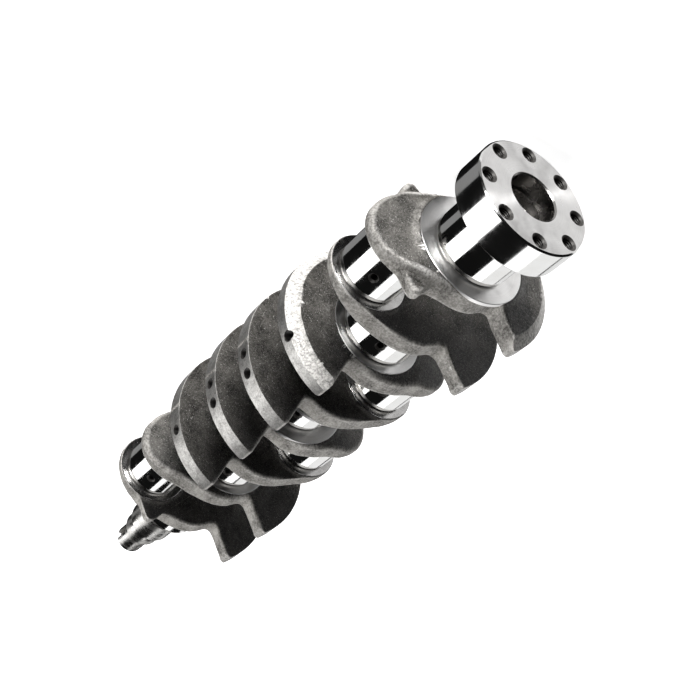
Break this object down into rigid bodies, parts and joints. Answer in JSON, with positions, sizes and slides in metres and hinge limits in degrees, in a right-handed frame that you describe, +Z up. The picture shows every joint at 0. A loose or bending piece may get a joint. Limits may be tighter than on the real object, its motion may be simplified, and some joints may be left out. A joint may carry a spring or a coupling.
{
  "type": "crankshaft",
  "caption": "Forged in-line engine crankshaft with ground journals, counterweighted webs, a drilled flywheel flange and a stepped keyed snout.",
  "frame": {"origin": "centre of the flywheel flange's face, on the crank axis", "axes": "+X along the crank axis, out of the flywheel flange; +Y from the axis towards crankpins 1 and 4; +Z up as the shaft lies at rest on its counterweights"},
  "size_m": [0.5707, 0.144, 0.1212],
  "materials": {
    "forged_steel": "rough forged steel, sand-blasted, dark grey",
    "journal_steel": "ground and polished steel",
    "flange_steel": "turned face, ground rim",
    "snout_steel": "ground and polished steel"
  },
  "bodies": {
    "root": {"rear_flange": "flange_steel", "main_journal_5": "journal_steel", "web_8": "forged_steel", "crankpin_4": "journal_steel", "web_7": "forged_steel", "main_journal_4": "journal_steel", "web_6": "forged_steel", "crankpin_3": "journal_steel", "web_5": "forged_steel", "main_journal_3": "journal_steel", "web_4": "forged_steel", "crankpin_2": "journal_steel", "web_3": "forged_steel", "main_journal_2": "journal_steel", "web_2": "forged_steel", "crankpin_1": "journal_steel", "web_1": "forged_steel", "main_journal_1": "journal_steel", "sprocket_seat": "snout_steel", "pulley_seat": "snout_steel", "snout_nose": "snout_steel"}
  },
  "joints": []
}
